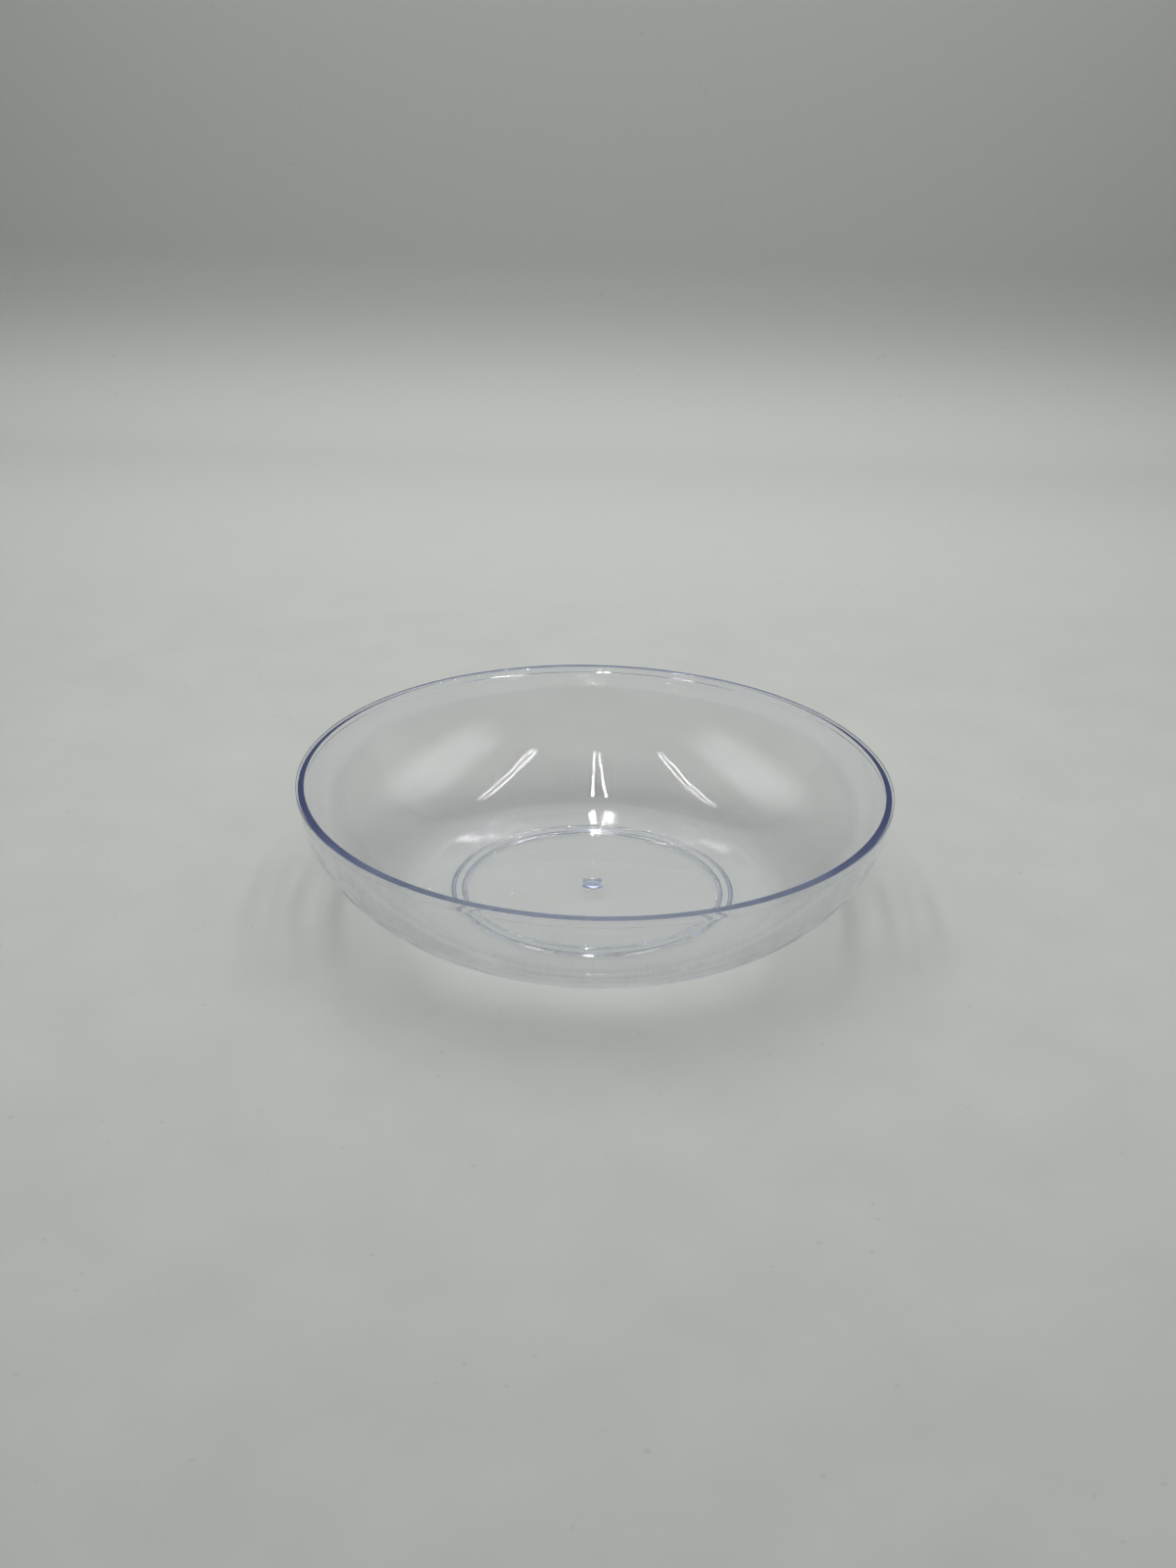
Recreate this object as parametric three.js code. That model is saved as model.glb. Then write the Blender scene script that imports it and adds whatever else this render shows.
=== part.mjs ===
// A clear floral tray: one shallow round dish, moulded in a single piece of clear polystyrene.
// It stands on a low foot ring, has a flat-topped bead at the rim, and keeps the short gate stub
// of its moulding at the middle of the floor. The frame is in millimetres with +Z up: the origin
// is on the axis of the dish, in the plane that the foot ring stands on.

import * as THREE from 'three';

// Driving dimensions, in millimetres, with angles in degrees.
const RIM_DIAMETER = 152; // over the outside of the rim bead
const HEIGHT = 35; // from the table to the top of the rim
const WALL_THICKNESS = 1.5; // of the wall and the floor alike
const WALL_DRAFT = 0.2; // lean of the wall from upright, just under the rim
const WALL_RISE = 17; // how far the upright run under the rim pulls the curve of the wall down
const WALL_SWEEP = 12; // how far the flat of the floor pulls the curve of the wall out
const RIM_BEAD_STEP = 0.6; // how far the rim bead stands out from the wall
const RIM_BEAD_HEIGHT = 2; // from the top of the rim to the ledge under the bead
const RIM_EDGE_ROUND = 0.15; // on the edges of the rim bead
const FOOT_DIAMETER = 72.6; // over the outside of the foot ring
const FOOT_WIDTH = 2.7; // across the foot ring
const FOOT_HEIGHT = 1.75; // from the table to the underside of the floor
const FOOT_EDGE_ROUND = 0.8; // on both lower edges of the foot ring
const FOOT_FILLET = 0.9; // where both sides of the foot ring meet the underside
const FLAT_PAST_FOOT = 6.3; // flat run of the underside beyond the fillet of the foot ring
const STUB_DIAMETER = 5; // of the gate stub at the middle of the floor
const STUB_HEIGHT = 2.2; // above the floor
const STUB_DOME = 1; // how far the top of the gate stub swells above its edge
const STUB_FILLET = 0.3; // where the gate stub meets the floor

// Facets: flat sides round the axis, and steps along each kind of curve in the outline.
const SIDES = 64;
const WALL_STEPS = 12;
const ROUND_STEPS = 3;
const EDGE_STEPS = 2;

// Places worked out from the sizes above.
const rimRadius = RIM_DIAMETER / 2;
const rimInnerRadius = rimRadius - RIM_BEAD_STEP - WALL_THICKNESS;
const ledgeHeight = HEIGHT - RIM_BEAD_HEIGHT;
const floorHeight = FOOT_HEIGHT + WALL_THICKNESS;
const footOuterRadius = FOOT_DIAMETER / 2;
const footInnerRadius = footOuterRadius - FOOT_WIDTH;
const footFillet = Math.min(FOOT_FILLET, FOOT_HEIGHT - FOOT_EDGE_ROUND);
const flatRadius = footOuterRadius + footFillet + FLAT_PAST_FOOT;
const stubRadius = STUB_DIAMETER / 2;
const stubTop = floorHeight + STUB_HEIGHT;
const stubDomeRadius = (stubRadius ** 2 + STUB_DOME ** 2) / (2 * STUB_DOME);

// Points of an arc in the (radius, height) half plane, between two angles in degrees.
function arcPoints(radiusAt, heightAt, arcRadius, fromDegrees, toDegrees, steps) {
  const from = THREE.MathUtils.degToRad(fromDegrees);
  const to = THREE.MathUtils.degToRad(toDegrees);
  const arc = new THREE.EllipseCurve(radiusAt, heightAt, arcRadius, arcRadius, from, to, to < from);
  return arc.getPoints(steps);
}

// Outer face of the wall: one curve from the flat underside up to the ledge under the rim bead.
function wallCurve() {
  const lean = THREE.MathUtils.degToRad(WALL_DRAFT);
  const start = new THREE.Vector2(flatRadius, FOOT_HEIGHT);
  const startPull = new THREE.Vector2(flatRadius + WALL_SWEEP, FOOT_HEIGHT);
  const end = new THREE.Vector2(rimRadius - RIM_BEAD_STEP, ledgeHeight);
  const endPull = new THREE.Vector2(-Math.sin(lean), -Math.cos(lean)).multiplyScalar(WALL_RISE).add(end);
  return new THREE.CubicBezierCurve(start, startPull, endPull, end);
}

// Points along the wall, moved in from its outer face by a depth measured square to the wall.
function wallPoints(depth) {
  const curve = wallCurve();
  const points = [];
  for (let step = 0; step <= WALL_STEPS; step += 1) {
    const along = step / WALL_STEPS;
    const tangent = curve.getTangent(along);
    const inwards = new THREE.Vector2(-tangent.y, tangent.x);
    points.push(curve.getPoint(along).addScaledVector(inwards, depth));
  }
  return points;
}

// Gate stub: from the axis over its domed top, down its side and onto the floor.
function stubPoints() {
  const edgeAngle = THREE.MathUtils.radToDeg(Math.acos(stubRadius / stubDomeRadius));
  const filletCentre = stubRadius + STUB_FILLET;
  return [
    ...arcPoints(0, stubTop - stubDomeRadius, stubDomeRadius, 90, edgeAngle, ROUND_STEPS),
    ...arcPoints(filletCentre, floorHeight + STUB_FILLET, STUB_FILLET, 180, 270, EDGE_STEPS),
  ];
}

// Rim bead: flush with the inside of the wall, with a flat top, rounded edges and a ledge under it outside.
function rimPoints() {
  const outerEdge = rimRadius - RIM_EDGE_ROUND;
  const upperEdge = HEIGHT - RIM_EDGE_ROUND;
  return [
    ...arcPoints(rimInnerRadius + RIM_EDGE_ROUND, upperEdge, RIM_EDGE_ROUND, 180, 90, EDGE_STEPS),
    ...arcPoints(outerEdge, upperEdge, RIM_EDGE_ROUND, 90, 0, EDGE_STEPS),
    ...arcPoints(outerEdge, ledgeHeight + RIM_EDGE_ROUND, RIM_EDGE_ROUND, 0, -90, EDGE_STEPS),
  ];
}

// Foot ring: from the flat underside outside it, round its lower edges, to the axis inside it.
function footPoints() {
  const filletHeight = FOOT_HEIGHT - footFillet;
  const outerEdge = footOuterRadius - FOOT_EDGE_ROUND;
  const innerEdge = footInnerRadius + FOOT_EDGE_ROUND;
  return [
    ...arcPoints(footOuterRadius + footFillet, filletHeight, footFillet, 90, 180, ROUND_STEPS),
    ...arcPoints(outerEdge, FOOT_EDGE_ROUND, FOOT_EDGE_ROUND, 0, -90, EDGE_STEPS),
    ...arcPoints(innerEdge, FOOT_EDGE_ROUND, FOOT_EDGE_ROUND, -90, -180, EDGE_STEPS),
    ...arcPoints(footInnerRadius - footFillet, filletHeight, footFillet, 0, 90, ROUND_STEPS),
    new THREE.Vector2(0, FOOT_HEIGHT),
  ];
}

// Half section of the dish, from the axis over the inside, round the rim and back under the foot.
function sectionPoints() {
  const inside = wallPoints(WALL_THICKNESS);
  const outside = wallPoints(0).reverse();
  const section = [...stubPoints(), ...inside, ...rimPoints(), ...outside, ...footPoints()];
  return section.reverse();
}

// The dish is the half section turned once round its axis, with the lathe's Y axis stood up as Z.
function makeTray() {
  const geometry = new THREE.LatheGeometry(sectionPoints(), SIDES);
  geometry.rotateX(Math.PI / 2);
  const material = new THREE.MeshStandardMaterial({
    color: 0xe4eaf4,
    roughness: 0.06,
    metalness: 0,
    transparent: true,
    opacity: 0.35,
  });
  const tray = new THREE.Mesh(geometry, material);
  tray.name = 'tray';
  return tray;
}

const floralTray = new THREE.Group();
floralTray.add(makeTray());

export default floralTray;
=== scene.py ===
"""Looks of a clear floral tray: a shallow round dish, moulded in clear polystyrene, on a pale grey sweep."""

import math

import bpy
from mathutils import Matrix, Vector


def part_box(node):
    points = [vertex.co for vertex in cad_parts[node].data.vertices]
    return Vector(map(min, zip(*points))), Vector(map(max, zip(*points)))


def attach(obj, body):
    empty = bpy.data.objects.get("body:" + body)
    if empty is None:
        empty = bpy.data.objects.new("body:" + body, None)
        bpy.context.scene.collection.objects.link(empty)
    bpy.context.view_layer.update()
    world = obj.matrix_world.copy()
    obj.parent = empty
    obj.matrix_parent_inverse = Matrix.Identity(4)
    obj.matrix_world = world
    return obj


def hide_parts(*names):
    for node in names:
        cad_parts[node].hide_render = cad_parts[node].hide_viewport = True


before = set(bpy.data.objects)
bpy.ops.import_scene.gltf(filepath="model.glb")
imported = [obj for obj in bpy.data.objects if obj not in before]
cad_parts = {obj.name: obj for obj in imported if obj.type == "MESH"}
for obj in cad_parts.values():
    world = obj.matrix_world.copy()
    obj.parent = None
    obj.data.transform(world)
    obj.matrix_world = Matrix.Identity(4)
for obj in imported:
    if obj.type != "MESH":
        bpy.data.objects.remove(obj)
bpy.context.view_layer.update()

MM = 0.001

# Sizes of the dish in millimetres, with angles in degrees. Its radius and height are the frame's own.
_, tray_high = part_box("tray")
RIM_RADIUS = tray_high.x / MM
HEIGHT = tray_high.z / MM
WALL_THICKNESS = 1.5
WALL_DRAFT = 0.2
WALL_RISE = 17.0
WALL_SWEEP = 12.0
RIM_BEAD_STEP = 0.6
RIM_BEAD_HEIGHT = 2.0
RIM_EDGE_ROUND = 0.15
FOOT_RADIUS = 36.3
FOOT_WIDTH = 2.7
FOOT_HEIGHT = 1.75
FOOT_EDGE_ROUND = 0.8
FOOT_FILLET = 0.9
FLAT_PAST_FOOT = 6.3
STUB_RADIUS = 2.5
STUB_HEIGHT = 2.2
STUB_DOME = 1.0
STUB_FILLET = 0.3

LEDGE_HEIGHT = HEIGHT - RIM_BEAD_HEIGHT
FLOOR_HEIGHT = FOOT_HEIGHT + WALL_THICKNESS
FLAT_RADIUS = FOOT_RADIUS + FOOT_FILLET + FLAT_PAST_FOOT

# Fineness of the turned surface, and the angle from which an edge in it is drawn sharp.
SIDES = 256
WALL_STEPS = 72
ROUND_STEPS = 12
FLAT_STEP = 2.0
SHARP_ANGLE = 30.0

# The camera, fitted to the outlines of the rim, the wall and the foot ring in the photograph.
LENS = 45.0
SENSOR = 36.0
CLIP_START = 10.0
CAMERA_PLACE = Vector((-1.8, -454.5, HEIGHT + 212.0))
CAMERA_PITCH = math.radians(25.27)
CAMERA_ROLL = math.radians(1.43)

# The sweep of card under the dish, in millimetres, and the tone that it fades to away from its middle.
SWEEP_HALF_WIDTH = 1500.0
SWEEP_FRONT = -2400.0
SWEEP_BEND_START = 412.0
SWEEP_BEND_RADIUS = 76.0
SWEEP_BEND_STEPS = 24
SWEEP_TOP = 620.0
SWEEP_MIDDLE = Vector((0, 150.0, 0))
SWEEP_FADE_START = 500.0
SWEEP_FADE_END = 850.0
DISTANT_TONE = "B8BAB7"

# Three bars of diodes over the dish, in millimetres and watts. The glow of the diodes and of a whole bar is
# what the plastic sees of them.
BAR_MIDDLE = Vector((-5.0, 130.0, 600.0))
BAR_SPACING = 200.0
BAR_WIDTH = 30.0
BAR_LENGTH = 580.0
BAR_POWER = 1.02
BAR_GLOW = 8.0
LED_ROW_SPACING = 18.0
LED_PITCH = 12.5
LED_SIZE = 4.0
LED_GLOW = 40.0
LED_MIDDLE = Vector((-5.0, 75.0, 599.0))
LED_LENGTH = 450.0

# A soft panel on either side of the dish, in millimetres and watts.
PANEL_MIDDLE = Vector((0, 30.0, 480.0))
PANEL_DISTANCE = 400.0
PANEL_WIDTH = 850.0
PANEL_HEIGHT = 504.0
PANEL_POWER = 1.4

# Limits for counts of the surfaces that light has met: a count under the first is none, and light past the
# others has run round in the wall of the dish before it came to the room or to a bar.
ANY = 0.5
GUIDED_TO_ROOM = 4.5
GUIDED_TO_BAR = 6.5

# Light runs round many times in the clear wall before it leaves through the rim.
BOUNCES = 256


def linear(code):
    """An sRGB colour such as "B7B9B6" as the linear RGBA that shaders take."""
    channels = [int(code[i:i + 2], 16) / 255 for i in (0, 2, 4)]
    return [c / 12.92 if c <= 0.04045 else ((c + 0.055) / 1.055) ** 2.4 for c in channels] + [1.0]


def add_node(tree, kind, inputs=None, output=0, **settings):
    """Adds a node, sets its properties, sets or links its inputs, and gives one of its outputs, if any.

    Inputs and outputs go by name or by number. A Mix node has its share in input 0. Its colours are inputs 6
    and 7 and output 2, and its numbers are inputs 2 and 3 and output 0.
    """
    node = tree.nodes.new(kind)
    for name, value in settings.items():
        setattr(node, name, value)
    for name, value in (inputs or {}).items():
        if isinstance(value, bpy.types.NodeSocket):
            tree.links.new(value, node.inputs[name])
        else:
            node.inputs[name].default_value = value
    return node.outputs[output] if len(node.outputs) else None


def new_material(name):
    """An empty material and its node tree."""
    material = bpy.data.materials.new(name)
    material.use_nodes = True
    material.node_tree.nodes.clear()
    return material, material.node_tree


def seen_straight(tree):
    """1 for what the camera sees directly, or through the dish with no reflection on the way, and else 0."""
    direct = add_node(tree, "ShaderNodeLightPath", output="Is Camera Ray")
    bent = add_node(tree, "ShaderNodeLightPath", output="Is Transmission Ray")
    reflections = add_node(tree, "ShaderNodeLightPath", output="Glossy Depth")
    unreflected = add_node(tree, "ShaderNodeMath", {0: reflections, 1: ANY}, operation="LESS_THAN")
    through = add_node(tree, "ShaderNodeMath", {0: bent, 1: unreflected}, operation="MULTIPLY")
    return add_node(tree, "ShaderNodeMath", {0: direct, 1: through}, operation="MAXIMUM")


# Outline of the dish

def arc(centre_radius, centre_height, radius, start, end, steps=ROUND_STEPS):
    """Points (radius, height) of an arc between two angles in degrees."""
    angles = [math.radians(start + (end - start) * i / steps) for i in range(steps + 1)]
    return [(centre_radius + radius * math.cos(a), centre_height + radius * math.sin(a)) for a in angles]


def flat(start, end, height):
    """Points along a level run, with neither of its ends, so that the shading stays even."""
    steps = max(2, round(abs(end - start) / FLAT_STEP))
    return [(start + (end - start) * i / steps, height) for i in range(1, steps)]


def wall(depth):
    """Points up the wall, moved in from its outer face by a depth that is measured square to it."""
    lean = math.radians(WALL_DRAFT)
    low = Vector((FLAT_RADIUS, FOOT_HEIGHT))
    high = Vector((RIM_RADIUS - RIM_BEAD_STEP, LEDGE_HEIGHT))
    low_pull = low + Vector((WALL_SWEEP, 0))
    high_pull = high - WALL_RISE * Vector((math.sin(lean), math.cos(lean)))
    points = []
    for i in range(WALL_STEPS + 1):
        t = i / WALL_STEPS
        s = 1 - t
        place = s**3 * low + 3 * s * s * t * low_pull + 3 * s * t * t * high_pull + t**3 * high
        along = s * s * (low_pull - low) + 2 * s * t * (high_pull - low_pull) + t * t * (high - high_pull)
        along.normalize()
        points.append((place.x - along.y * depth, place.y + along.x * depth))
    return points


def gate_stub():
    """The stub that the mould's gate left: a domed top, an upright side and a small fillet to the floor."""
    dome_radius = (STUB_RADIUS**2 + STUB_DOME**2) / (2 * STUB_DOME)
    edge_angle = math.degrees(math.acos(STUB_RADIUS / dome_radius))
    dome = arc(0, FLOOR_HEIGHT + STUB_HEIGHT - dome_radius, dome_radius, 90, edge_angle)
    fillet = arc(STUB_RADIUS + STUB_FILLET, FLOOR_HEIGHT + STUB_FILLET, STUB_FILLET, 180, 270)
    return dome + fillet


def rim_bead():
    """A flat top, flush with the inside of the wall, with rounded edges and a ledge under it outside."""
    inner = RIM_RADIUS - RIM_BEAD_STEP - WALL_THICKNESS + RIM_EDGE_ROUND
    outer = RIM_RADIUS - RIM_EDGE_ROUND
    upper = HEIGHT - RIM_EDGE_ROUND
    lower = LEDGE_HEIGHT + RIM_EDGE_ROUND
    inner_edge = arc(inner, upper, RIM_EDGE_ROUND, 180, 90)
    outer_edge = arc(outer, upper, RIM_EDGE_ROUND, 90, 0)
    ledge_edge = arc(outer, lower, RIM_EDGE_ROUND, 0, -90)
    return inner_edge + outer_edge + ledge_edge


def foot_ring():
    """The ring that the dish stands on, with rounded lower edges and a fillet to the floor on both sides."""
    inner = FOOT_RADIUS - FOOT_WIDTH
    fillet_height = FOOT_HEIGHT - FOOT_FILLET
    outer_fillet = arc(FOOT_RADIUS + FOOT_FILLET, fillet_height, FOOT_FILLET, 90, 180)
    outer_edge = arc(FOOT_RADIUS - FOOT_EDGE_ROUND, FOOT_EDGE_ROUND, FOOT_EDGE_ROUND, 0, -90)
    inner_edge = arc(inner + FOOT_EDGE_ROUND, FOOT_EDGE_ROUND, FOOT_EDGE_ROUND, -90, -180)
    inner_fillet = arc(inner - FOOT_FILLET, fillet_height, FOOT_FILLET, 0, 90)
    return outer_fillet + outer_edge + inner_edge + inner_fillet


def dish_outline():
    """Half section from the axis, over the stub and floor, up the inside, round the rim and back under."""
    under_start = FOOT_RADIUS - FOOT_WIDTH - FOOT_FILLET
    return (
        gate_stub()
        + flat(STUB_RADIUS + STUB_FILLET, FLAT_RADIUS, FLOOR_HEIGHT)
        + wall(WALL_THICKNESS)
        + rim_bead()
        + wall(0)[::-1]
        + flat(FLAT_RADIUS, FOOT_RADIUS + FOOT_FILLET, FOOT_HEIGHT)
        + foot_ring()
        + flat(under_start, 0, FOOT_HEIGHT)
        + [(0, FOOT_HEIGHT)]
    )


def turn(name, outline):
    """A closed mesh: the outline, which starts and ends on the axis, turned once round the axis."""
    turns = [2 * math.pi * i / SIDES for i in range(SIDES)]
    middle = outline[1:-1]
    points = [(r * math.cos(a) * MM, r * math.sin(a) * MM, z * MM) for r, z in middle for a in turns]
    top, bottom = len(points), len(points) + 1
    points += [(0, 0, outline[0][1] * MM), (0, 0, outline[-1][1] * MM)]
    last = (len(middle) - 1) * SIDES
    faces = []
    for i in range(SIDES):
        j = (i + 1) % SIDES
        faces.append((top, i, j))
        faces.append((bottom, last + j, last + i))
        faces += [(k + i, k + SIDES + i, k + SIDES + j, k + j) for k in range(0, last, SIDES)]
    mesh = bpy.data.meshes.new(name)
    mesh.from_pydata(points, [], faces)
    mesh.polygons.foreach_set("use_smooth", [True] * len(mesh.polygons))
    mesh.set_sharp_from_angle(angle=math.radians(SHARP_ANGLE))
    return mesh


# Materials

def mould_relief(tree):
    """Height of the surface in millimetres: slight ripples up the inside of the wall, and fine scratches.

    The scratches are drawn wider than real ones, so that they show.
    """
    ripple_size = 6.0
    ripple_depth = 0.04
    ripple_start = 4.0
    ripple_full = 12.0
    scratch_size = (0.2, 9.0, 9.0)
    scratch_depth = 0.004
    scratch_edge = 0.7
    scratch_bottom = 0.75
    place = add_node(tree, "ShaderNodeTexCoord", output="Object")
    height = add_node(tree, "ShaderNodeSeparateXYZ", {0: place}, "Z")
    on_wall = add_node(tree, "ShaderNodeMapRange", {
        "Value": height, "From Min": ripple_start * MM, "From Max": ripple_full * MM, "To Max": ripple_depth,
    }, interpolation_type="SMOOTHSTEP")
    facing = add_node(tree, "ShaderNodeNewGeometry", output="True Normal")
    facing_up = add_node(tree, "ShaderNodeSeparateXYZ", {0: facing}, "Z")
    inside = add_node(tree, "ShaderNodeMath", {0: facing_up, 1: 0.0}, operation="GREATER_THAN")
    ripple_reach = add_node(tree, "ShaderNodeMath", {0: on_wall, 1: inside}, operation="MULTIPLY")
    lumps = add_node(tree, "ShaderNodeTexNoise", {
        "Vector": place, "Scale": 1 / (ripple_size * MM), "Detail": 0.0})
    ripples = add_node(tree, "ShaderNodeMath", {0: lumps, 1: ripple_reach}, operation="MULTIPLY")
    drawn_out = add_node(tree, "ShaderNodeMapping", {
        "Vector": place, "Scale": [1 / (size * MM) for size in scratch_size]})
    streaks = add_node(tree, "ShaderNodeTexNoise", {"Vector": drawn_out, "Scale": 1.0, "Detail": 0.0})
    scratches = add_node(tree, "ShaderNodeMapRange", {
        "Value": streaks, "From Min": scratch_edge, "From Max": scratch_bottom, "To Max": -scratch_depth,
    }, interpolation_type="SMOOTHSTEP")
    return add_node(tree, "ShaderNodeMath", {0: ripples, 1: scratches}, operation="ADD")


def moulded_clear_polystyrene():
    """Clear polystyrene from a polished mould: a bright gloss, a body that strongly bends what lies behind
    it, a blue toner that shows where light runs a long way in the wall, slight ripples that make reflections
    waver, and fine scratches from handling. Its shadow lacks most of the light that the gloss reflects."""
    material, tree = new_material("moulded_clear_polystyrene")
    index = 1.59
    toner_density = 14.0
    shade_of_gloss = 0.8
    bump = add_node(tree, "ShaderNodeBump", {"Height": mould_relief(tree), "Distance": MM, "Strength": 1.0})
    plastic = add_node(tree, "ShaderNodeBsdfPrincipled", {
        "Base Color": linear("FBFBFC"), "Roughness": 0.0, "IOR": index, "Transmission Weight": 1.0,
        "Normal": bump})
    toner = add_node(tree, "ShaderNodeVolumeAbsorption", {
        "Color": linear("8FA3CE"), "Density": toner_density})
    gloss = add_node(tree, "ShaderNodeFresnel", {"IOR": index})
    passed = add_node(tree, "ShaderNodeMath", {
        0: gloss, 1: -shade_of_gloss, 2: 1.0}, operation="MULTIPLY_ADD")
    clear = add_node(tree, "ShaderNodeBsdfTransparent", {"Color": passed})
    shadow = add_node(tree, "ShaderNodeLightPath", output="Is Shadow Ray")
    surface = add_node(tree, "ShaderNodeMixShader", {0: shadow, 1: plastic, 2: clear})
    add_node(tree, "ShaderNodeOutputMaterial", {"Surface": surface, "Volume": toner})
    return material


def card_tone(tree, place):
    """A faint mottle and small specks; painted light pales the floor's back and painted shade darkens above
    it.
    """
    mottle_size = 25.0
    mottle_detail = 6.0
    speck_size = 2.5
    speck_edge = 0.79
    speck_full = 0.87
    speck_strength = 0.15
    # Painted light makes the floor paler towards its back, and painted shade makes the card darker as it
    # rises.
    painted_light_start = 150.0
    painted_light_full = 350.0
    painted_shade_height = 60.0
    back = add_node(tree, "ShaderNodeSeparateXYZ", {0: place}, "Y")
    height = add_node(tree, "ShaderNodeSeparateXYZ", {0: place}, "Z")
    mottle = add_node(tree, "ShaderNodeTexNoise", {
        "Vector": place, "Scale": 1 / (mottle_size * MM), "Detail": mottle_detail})
    painted_back_light = add_node(tree, "ShaderNodeMapRange", {
        "Value": back, "From Min": painted_light_start * MM, "From Max": painted_light_full * MM,
    }, interpolation_type="SMOOTHSTEP")
    painted_upright_shade = add_node(tree, "ShaderNodeMapRange", {
        "Value": height, "From Min": 0.0, "From Max": painted_shade_height * MM,
    }, interpolation_type="SMOOTHSTEP")
    grit = add_node(tree, "ShaderNodeTexNoise", {
        "Vector": place, "Scale": 1 / (speck_size * MM), "Detail": 0.0})
    specks = add_node(tree, "ShaderNodeMapRange", {
        "Value": grit, "From Min": speck_edge, "From Max": speck_full, "To Max": speck_strength,
    }, interpolation_type="SMOOTHSTEP")
    tone = add_node(tree, "ShaderNodeMix", {
        0: mottle, 6: linear("B2B4B1"), 7: linear("BDBFBC")}, 2, data_type="RGBA")
    # The painted light at the floor's back and the painted shade on the upright part go into the tone here.
    for share, code in ((painted_back_light, "C4C6C3"), (painted_upright_shade, "A9ABA8"), (specks, "7C7E7C")):
        tone = add_node(tree, "ShaderNodeMix", {0: share, 6: tone, 7: linear(code)}, 2, data_type="RGBA")
    return tone


def matt_grey_card():
    """Matt coated card: no gloss to speak of. Far from the dish the camera sees it fade to an even tone, and
    it is open from below, so that the foot can be seen."""
    material, tree = new_material("matt_grey_card")
    place = add_node(tree, "ShaderNodeTexCoord", output="Object")
    card = add_node(tree, "ShaderNodeBsdfPrincipled", {
        "Base Color": card_tone(tree, place), "Roughness": 0.8, "Specular IOR Level": 0.1})
    distance = add_node(tree, "ShaderNodeVectorMath", {
        0: place, 1: SWEEP_MIDDLE * MM}, "Value", operation="DISTANCE")
    far = add_node(tree, "ShaderNodeMapRange", {
        "Value": distance, "From Min": SWEEP_FADE_START * MM, "From Max": SWEEP_FADE_END * MM,
    }, interpolation_type="SMOOTHSTEP")
    fade = add_node(tree, "ShaderNodeMath", {0: far, 1: seen_straight(tree)}, operation="MULTIPLY")
    even_tone = add_node(tree, "ShaderNodeEmission", {"Color": linear(DISTANT_TONE)})
    upper_side = add_node(tree, "ShaderNodeMixShader", {0: fade, 1: card, 2: even_tone})
    underneath = add_node(tree, "ShaderNodeNewGeometry", output="Backfacing")
    open_side = add_node(tree, "ShaderNodeBsdfTransparent")
    surface = add_node(tree, "ShaderNodeMixShader", {0: underneath, 1: upper_side, 2: open_side})
    add_node(tree, "ShaderNodeOutputMaterial", {"Surface": surface})
    return material


def diode_dots(tree):
    """1 on the diodes of a bar and 0 between them: two rows of square dots."""
    place = add_node(tree, "ShaderNodeTexCoord", output="Object")
    along = add_node(tree, "ShaderNodeSeparateXYZ", {0: place}, "Y")
    pitches = add_node(tree, "ShaderNodeMath", {0: along, 1: LED_PITCH * MM}, operation="DIVIDE")
    step = add_node(tree, "ShaderNodeMath", {0: pitches}, operation="FRACT")
    lit_along = add_node(tree, "ShaderNodeMath", {0: step, 1: LED_SIZE / LED_PITCH}, operation="LESS_THAN")
    across = add_node(tree, "ShaderNodeSeparateXYZ", {0: place}, "X")
    off_middle = add_node(tree, "ShaderNodeMath", {0: across}, operation="ABSOLUTE")
    lit_across = add_node(tree, "ShaderNodeMath", {
        0: off_middle, 1: LED_ROW_SPACING / 2 * MM, 2: LED_SIZE / 2 * MM}, operation="COMPARE")
    return add_node(tree, "ShaderNodeMath", {0: lit_along, 1: lit_across}, operation="MULTIPLY")


def glowing_diodes():
    """Two rows of bright diodes on a dark bar, which show as dots in the gloss. Real ones are so bright that
    their second reflection shows white too, so that one is drawn stronger. Light that has run round in the
    plastic sees an even bar, and light from the card sees none of it."""
    material, tree = new_material("glowing_diodes")
    most_reflections = 2.0
    gain_power = 3.0
    reflections = add_node(tree, "ShaderNodeLightPath", output="Glossy Depth")
    counted = add_node(tree, "ShaderNodeMath", {0: reflections, 1: most_reflections}, operation="MINIMUM")
    gain = add_node(tree, "ShaderNodeMath", {0: counted, 1: gain_power}, operation="POWER")
    glint = add_node(tree, "ShaderNodeMath", {0: gain, 1: LED_GLOW}, operation="MULTIPLY")
    dots = add_node(tree, "ShaderNodeMath", {0: diode_dots(tree), 1: glint}, operation="MULTIPLY")
    depth = add_node(tree, "ShaderNodeLightPath", output="Ray Depth")
    guided = add_node(tree, "ShaderNodeMath", {0: depth, 1: GUIDED_TO_BAR}, operation="GREATER_THAN")
    level = add_node(tree, "ShaderNodeMix", {0: guided, 2: dots, 3: BAR_GLOW}, data_type="FLOAT")
    from_card = add_node(tree, "ShaderNodeLightPath", output="Diffuse Depth")
    not_from_card = add_node(tree, "ShaderNodeMath", {0: from_card, 1: ANY}, operation="LESS_THAN")
    strength = add_node(tree, "ShaderNodeMath", {0: level, 1: not_from_card}, operation="MULTIPLY")
    glow = add_node(tree, "ShaderNodeEmission", {"Strength": strength})
    add_node(tree, "ShaderNodeOutputMaterial", {"Surface": glow})
    material.cycles.emission_sampling = "NONE"
    return material


# Stage, lamps and camera

def link(name, data):
    """A new object in the scene."""
    made = bpy.data.objects.new(name, data)
    bpy.context.scene.collection.objects.link(made)
    return made


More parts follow.
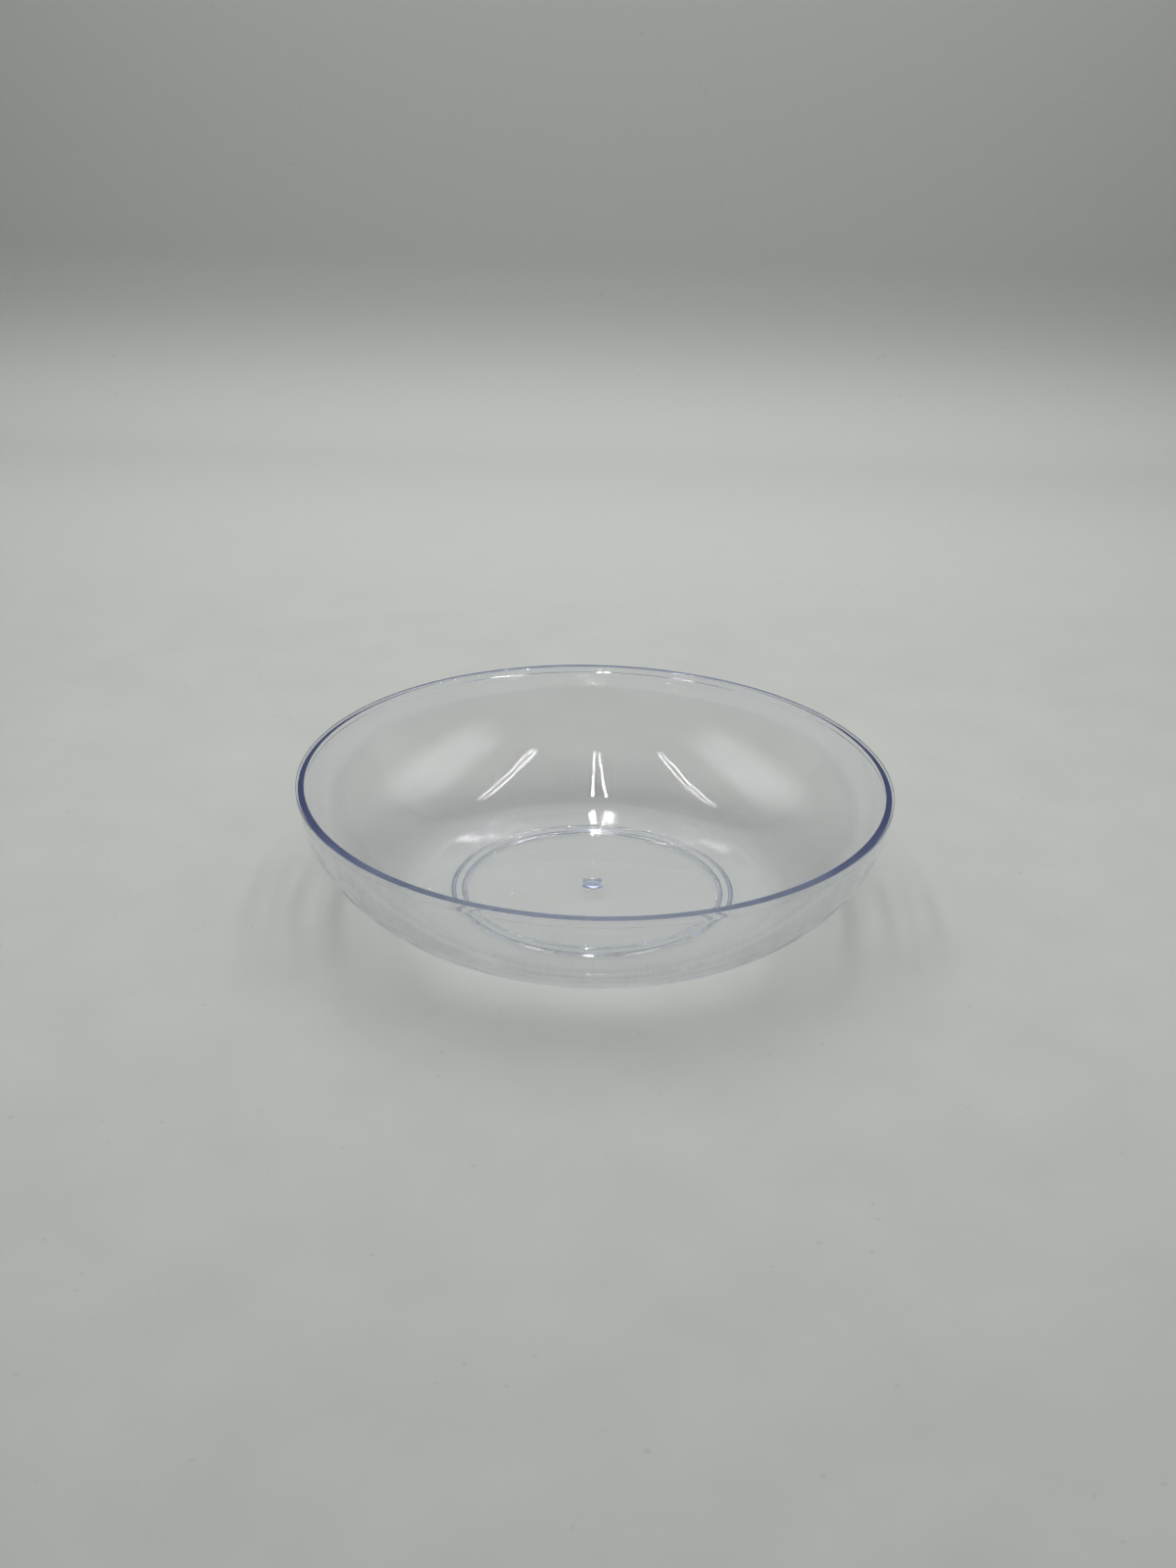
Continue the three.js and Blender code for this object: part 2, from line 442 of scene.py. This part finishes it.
def make_sweep():
    """A level floor that bends up into a backdrop behind the dish."""
    bend = arc(SWEEP_BEND_START, SWEEP_BEND_RADIUS, SWEEP_BEND_RADIUS, -90, 0, SWEEP_BEND_STEPS)
    profile = [(SWEEP_FRONT, 0)] + bend + [(bend[-1][0], SWEEP_TOP)]
    sides = (-SWEEP_HALF_WIDTH, SWEEP_HALF_WIDTH)
    points = [(x * MM, y * MM, z * MM) for y, z in profile for x in sides]
    faces = [(2 * i, 2 * i + 1, 2 * i + 3, 2 * i + 2) for i in range(len(profile) - 1)]
    mesh = bpy.data.meshes.new("sweep")
    mesh.from_pydata(points, [], faces)
    mesh.polygons.foreach_set("use_smooth", [True] * len(faces))
    mesh.materials.append(matt_grey_card())
    sweep = link("sweep", mesh)
    sweep.cycles.is_caustics_receiver = True


def add_lamp(name, place, aim, width, height, power):
    """A rectangular lamp that faces a point and is out of the camera's sight."""
    light = bpy.data.lights.new(name, "AREA")
    light.shape = "RECTANGLE"
    light.size = width * MM
    light.size_y = height * MM
    light.energy = power
    light.cycles.is_caustics_light = True
    lamp = link(name, light)
    lamp.location = place * MM
    lamp.rotation_euler = (aim - place).to_track_quat("-Z", "Y").to_euler()
    lamp.visible_camera = False
    return lamp


def fade_edges(light):
    """Makes a lamp fade from its middle towards its edges. Places on it run from 0 to 1 both ways."""
    middle = 0.5
    to_edge = 0.5
    full_until = 0.15
    light.use_nodes = True
    tree = light.node_tree
    tree.nodes.clear()
    place = add_node(tree, "ShaderNodeNewGeometry", output="Parametric")
    levels = []
    for axis in ("X", "Y"):
        share = add_node(tree, "ShaderNodeSeparateXYZ", {0: place}, axis)
        from_middle = add_node(tree, "ShaderNodeMath", {0: share, 1: middle}, operation="SUBTRACT")
        off_middle = add_node(tree, "ShaderNodeMath", {0: from_middle}, operation="ABSOLUTE")
        levels.append(add_node(tree, "ShaderNodeMapRange", {
            "Value": off_middle, "From Min": to_edge, "From Max": full_until,
        }, interpolation_type="SMOOTHSTEP"))
    level = add_node(tree, "ShaderNodeMath", {0: levels[0], 1: levels[1]}, operation="MULTIPLY")
    glow = add_node(tree, "ShaderNodeEmission", {"Strength": level})
    add_node(tree, "ShaderNodeOutputLight", {"Surface": glow})


def add_diodes(place, material):
    """The diodes of one bar, which only the plastic's gloss and clear body see."""
    half = Vector((BAR_WIDTH, LED_LENGTH)) / 2 * MM
    corners = [(-half.x, -half.y, 0), (-half.x, half.y, 0), (half.x, half.y, 0), (half.x, -half.y, 0)]
    mesh = bpy.data.meshes.new("diodes")
    mesh.from_pydata(corners, [], [(0, 1, 2, 3)])
    mesh.materials.append(material)
    strip = link("diodes", mesh)
    strip.location = place * MM
    strip.visible_camera = False
    strip.visible_diffuse = False
    strip.visible_shadow = False


def make_lamps():
    """Three overhead bars, whose light and whose look are kept apart, and a soft panel on either side."""
    diodes = glowing_diodes()
    for bar in (-1, 0, 1):
        across = Vector((bar * BAR_SPACING, 0, 0))
        place = BAR_MIDDLE + across
        below = Vector((place.x, place.y, 0))
        lamp = add_lamp("bar", place, below, BAR_WIDTH, BAR_LENGTH, BAR_POWER)
        lamp.visible_glossy = False
        lamp.visible_transmission = False
        add_diodes(LED_MIDDLE + across, diodes)
    for side in (-1, 1):
        place = PANEL_MIDDLE + Vector((side * PANEL_DISTANCE, 0, 0))
        panel = add_lamp("panel", place, PANEL_MIDDLE, PANEL_WIDTH, PANEL_HEIGHT, PANEL_POWER)
        fade_edges(panel.data)


def make_world():
    """A dim room that is darkest in front of the dish, towards -Y, and deep blue there for light that has
    run round in the toned wall. It lights the card evenly. Light that falls through the dish onto the card
    sees a paler room, which fills the shadow, and the camera sees the tone that the card fades to."""
    dark_until = -0.2
    lit_from = 0.1
    dark_front = "282A2C"
    toned_front = "3E5596"
    dim_room = "8E908D"
    shadow_fill = "E2E4E1"
    world = bpy.data.worlds.new("studio")
    bpy.context.scene.world = world
    world.use_nodes = True
    tree = world.node_tree
    tree.nodes.clear()
    towards = add_node(tree, "ShaderNodeTexCoord", output="Generated")
    ahead = add_node(tree, "ShaderNodeSeparateXYZ", {0: towards}, "Y")
    past_front = add_node(tree, "ShaderNodeMapRange", {
        "Value": ahead, "From Min": dark_until, "From Max": lit_from}, interpolation_type="SMOOTHSTEP")
    depth = add_node(tree, "ShaderNodeLightPath", output="Ray Depth")
    guided = add_node(tree, "ShaderNodeMath", {0: depth, 1: GUIDED_TO_ROOM}, operation="GREATER_THAN")
    card_light = add_node(tree, "ShaderNodeLightPath", output="Is Diffuse Ray")
    lit = add_node(tree, "ShaderNodeMath", {0: past_front, 1: card_light}, operation="MAXIMUM")
    straight = seen_straight(tree)
    from_card = add_node(tree, "ShaderNodeLightPath", output="Diffuse Depth")
    at_card = add_node(tree, "ShaderNodeMath", {0: from_card, 1: ANY}, operation="GREATER_THAN")
    bent = add_node(tree, "ShaderNodeLightPath", output="Is Transmission Ray")
    through_dish = add_node(tree, "ShaderNodeMath", {0: at_card, 1: bent}, operation="MULTIPLY")
    tone = linear(dark_front)
    layers = ((guided, toned_front), (lit, dim_room), (straight, DISTANT_TONE), (through_dish, shadow_fill))
    for share, code in layers:
        tone = add_node(tree, "ShaderNodeMix", {0: share, 6: tone, 7: linear(code)}, 2, data_type="RGBA")
    room = add_node(tree, "ShaderNodeBackground", {"Color": tone})
    add_node(tree, "ShaderNodeOutputWorld", {"Surface": room})


def make_camera():
    """The photograph's view: looking along +Y and down, with the slight roll of a hand-held camera."""
    data = bpy.data.cameras.new("camera")
    data.sensor_width = SENSOR
    data.lens = LENS
    data.clip_start = CLIP_START * MM
    camera = link("camera", data)
    right = Vector((1, 0, 0))
    forward = Vector((0, math.cos(CAMERA_PITCH), -math.sin(CAMERA_PITCH)))
    up = right.cross(forward)
    rolled_right = math.cos(CAMERA_ROLL) * right + math.sin(CAMERA_ROLL) * up
    rolled_up = math.cos(CAMERA_ROLL) * up - math.sin(CAMERA_ROLL) * right
    turned = Matrix((rolled_right, rolled_up, -forward)).transposed().to_4x4()
    turned.translation = CAMERA_PLACE * MM
    camera.matrix_world = turned
    bpy.context.scene.camera = camera


def make_tray():
    """The dish itself, in place of the faceted solid."""
    mesh = turn("clear_dish", dish_outline())
    mesh.materials.append(moulded_clear_polystyrene())
    tray = link("clear_dish", mesh)
    tray.cycles.is_caustics_caster = True
    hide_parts("tray")
    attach(tray, "root")


make_camera()
make_tray()
make_sweep()
make_lamps()
make_world()

scene = bpy.context.scene
scene.view_settings.view_transform = "Standard"
scene.cycles.max_bounces = BOUNCES
scene.cycles.transmission_bounces = BOUNCES
scene.cycles.glossy_bounces = BOUNCES
scene.cycles.sample_clamp_indirect = 0.0
